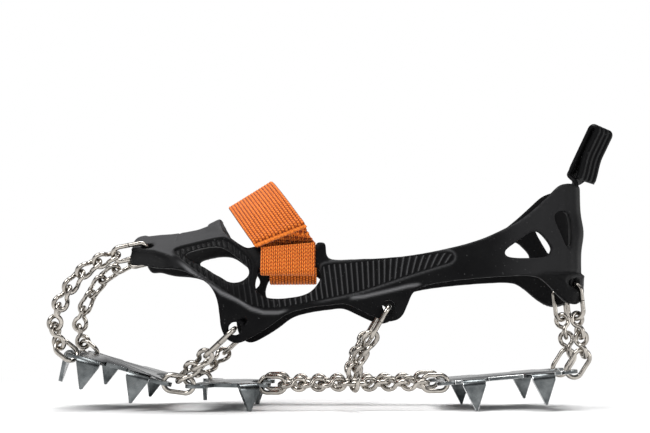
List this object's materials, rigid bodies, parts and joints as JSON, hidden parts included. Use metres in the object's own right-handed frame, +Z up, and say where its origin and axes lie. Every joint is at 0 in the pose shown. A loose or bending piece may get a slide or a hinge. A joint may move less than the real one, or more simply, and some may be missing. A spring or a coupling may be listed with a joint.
{
  "type": "hiking crampon",
  "caption": "Chain crampon for a hiking boot: moulded rubber harness with toe yoke and heel collar, woven instep straps, ribbed heel tab, and spiked steel plates on twisted-link chain.",
  "frame": {"origin": "middle of the bounding box in plan, at the height of the lowest spike tips", "axes": "+X towards the heel, the toe points to -X; +Y towards the wearer's right; +Z up"},
  "size_m": [0.3074, 0.1134, 0.1536],
  "materials": {
    "harness_rubber": "satin moulded elastomer",
    "tab_rubber": "matte ribbed",
    "webbing": "woven",
    "chain_steel": "polished stainless wire",
    "plate_steel": "satin stainless sheet"
  },
  "bodies": {
    "harness": {"harness": "harness_rubber", "toe_plate": "plate_steel", "ball_plate": "plate_steel", "heel_plate": "plate_steel", "strap_under": "webbing", "strap_loop": "webbing", "plate_link_left": "chain_steel", "sole_ring_left": "chain_steel", "plate_link_right": "chain_steel", "sole_ring_right": "chain_steel"},
    "toe_run_left": {"toe_hanger_left": "chain_steel", "toe_link_left_1": "chain_steel", "toe_link_left_2": "chain_steel", "toe_link_left_3": "chain_steel", "toe_link_left_4": "chain_steel", "toe_link_left_5": "chain_steel", "toe_link_left_6": "chain_steel", "toe_end_link_left": "chain_steel"},
    "ball_run_left": {"ball_hanger_left": "chain_steel", "ball_link_left_1": "chain_steel", "ball_end_link_left": "chain_steel"},
    "arch_run_left": {"arch_hanger_left": "chain_steel", "arch_link_left_1": "chain_steel", "arch_link_left_2": "chain_steel", "arch_end_link_left": "chain_steel"},
    "heel_run_left": {"heel_hanger_left": "chain_steel", "heel_link_left_1": "chain_steel", "heel_link_left_2": "chain_steel", "heel_end_link_left": "chain_steel"},
    "sole_chain_front_left": {"sole_chain_front_left": "chain_steel"},
    "sole_chain_rear_left": {"sole_chain_rear_left": "chain_steel"},
    "toe_run_right": {"toe_hanger_right": "chain_steel", "toe_link_right_1": "chain_steel", "toe_link_right_2": "chain_steel", "toe_link_right_3": "chain_steel", "toe_link_right_4": "chain_steel", "toe_link_right_5": "chain_steel", "toe_link_right_6": "chain_steel", "toe_end_link_right": "chain_steel"},
    "ball_run_right": {"ball_hanger_right": "chain_steel", "ball_link_right_1": "chain_steel", "ball_end_link_right": "chain_steel"},
    "arch_run_right": {"arch_hanger_right": "chain_steel", "arch_link_right_1": "chain_steel", "arch_link_right_2": "chain_steel", "arch_end_link_right": "chain_steel"},
    "heel_run_right": {"heel_hanger_right": "chain_steel", "heel_link_right_1": "chain_steel", "heel_link_right_2": "chain_steel", "heel_end_link_right": "chain_steel"},
    "sole_chain_front_right": {"sole_chain_front_right": "chain_steel"},
    "sole_chain_rear_right": {"sole_chain_rear_right": "chain_steel"},
    "strap_over": {"strap_over": "webbing"},
    "heel_tab": {"heel_tab": "tab_rubber"}
  },
  "joints": [
    {"name": "toe_run_swing_left", "type": "hinge", "parent": "harness", "child": "toe_run_left", "pos_m": [-0.10177, -0.022, 0.0858], "axis": [-0.5334, -0.0707, -0.8429], "range_deg": [-4, 4]},
    {"name": "ball_run_swing_left", "type": "hinge", "parent": "harness", "child": "ball_run_left", "pos_m": [-0.05227, -0.0515, 0.043], "axis": [-0.7234, 0.2785, -0.6318], "range_deg": [-6, 6]},
    {"name": "arch_run_swing_left", "type": "hinge", "parent": "harness", "child": "arch_run_left", "pos_m": [0.02623, -0.0412, 0.0545], "axis": [-0.3851, 0.2821, -0.8787], "range_deg": [-8, 8]},
    {"name": "heel_run_swing_left", "type": "hinge", "parent": "harness", "child": "heel_run_left", "pos_m": [0.12648, -0.01835, 0.067], "axis": [-0.0795, 0.0286, -0.9964], "range_deg": [-8, 8]},
    {"name": "sole_chain_swing_front_left", "type": "hinge", "parent": "harness", "child": "sole_chain_front_left", "pos_m": [-0.04127, -0.024, 0.0135], "axis": [0.9999, 0, 0.01], "range_deg": [-10, 10]},
    {"name": "sole_chain_swing_rear_left", "type": "hinge", "parent": "harness", "child": "sole_chain_rear_left", "pos_m": [0.05823, -0.024, 0.0145], "axis": [-0.9999, 0, -0.01], "range_deg": [-10, 10]},
    {"name": "toe_run_swing_right", "type": "hinge", "parent": "harness", "child": "toe_run_right", "pos_m": [-0.10177, 0.022, 0.0858], "axis": [-0.5334, 0.0707, -0.8429], "range_deg": [-4, 4]},
    {"name": "ball_run_swing_right", "type": "hinge", "parent": "harness", "child": "ball_run_right", "pos_m": [-0.05227, 0.0515, 0.043], "axis": [-0.7234, -0.2785, -0.6318], "range_deg": [-6, 6]},
    {"name": "arch_run_swing_right", "type": "hinge", "parent": "harness", "child": "arch_run_right", "pos_m": [0.02623, 0.0412, 0.0545], "axis": [-0.3851, -0.2821, -0.8787], "range_deg": [-8, 8]},
    {"name": "heel_run_swing_right", "type": "hinge", "parent": "harness", "child": "heel_run_right", "pos_m": [0.12648, 0.01835, 0.067], "axis": [-0.0795, -0.0286, -0.9964], "range_deg": [-8, 8]},
    {"name": "sole_chain_swing_front_right", "type": "hinge", "parent": "harness", "child": "sole_chain_front_right", "pos_m": [-0.04127, 0.024, 0.0135], "axis": [0.9999, 0, 0.01], "range_deg": [-10, 10]},
    {"name": "sole_chain_swing_rear_right", "type": "hinge", "parent": "harness", "child": "sole_chain_rear_right", "pos_m": [0.05823, 0.024, 0.0145], "axis": [-0.9999, 0, -0.01], "range_deg": [-10, 10]},
    {"name": "strap_flap", "type": "hinge", "parent": "harness", "child": "strap_over", "pos_m": [-0.03777, 0.051, 0.09], "axis": [-1, 0, 0], "range_deg": [0, 100]},
    {"name": "heel_tab_flex", "type": "hinge", "parent": "harness", "child": "heel_tab", "pos_m": [0.13148, 0, 0.1237], "axis": [0.5736, 0.8192, 0], "range_deg": [-25, 20], "stiffness_Nm_per_rad": 0.06}
  ]
}
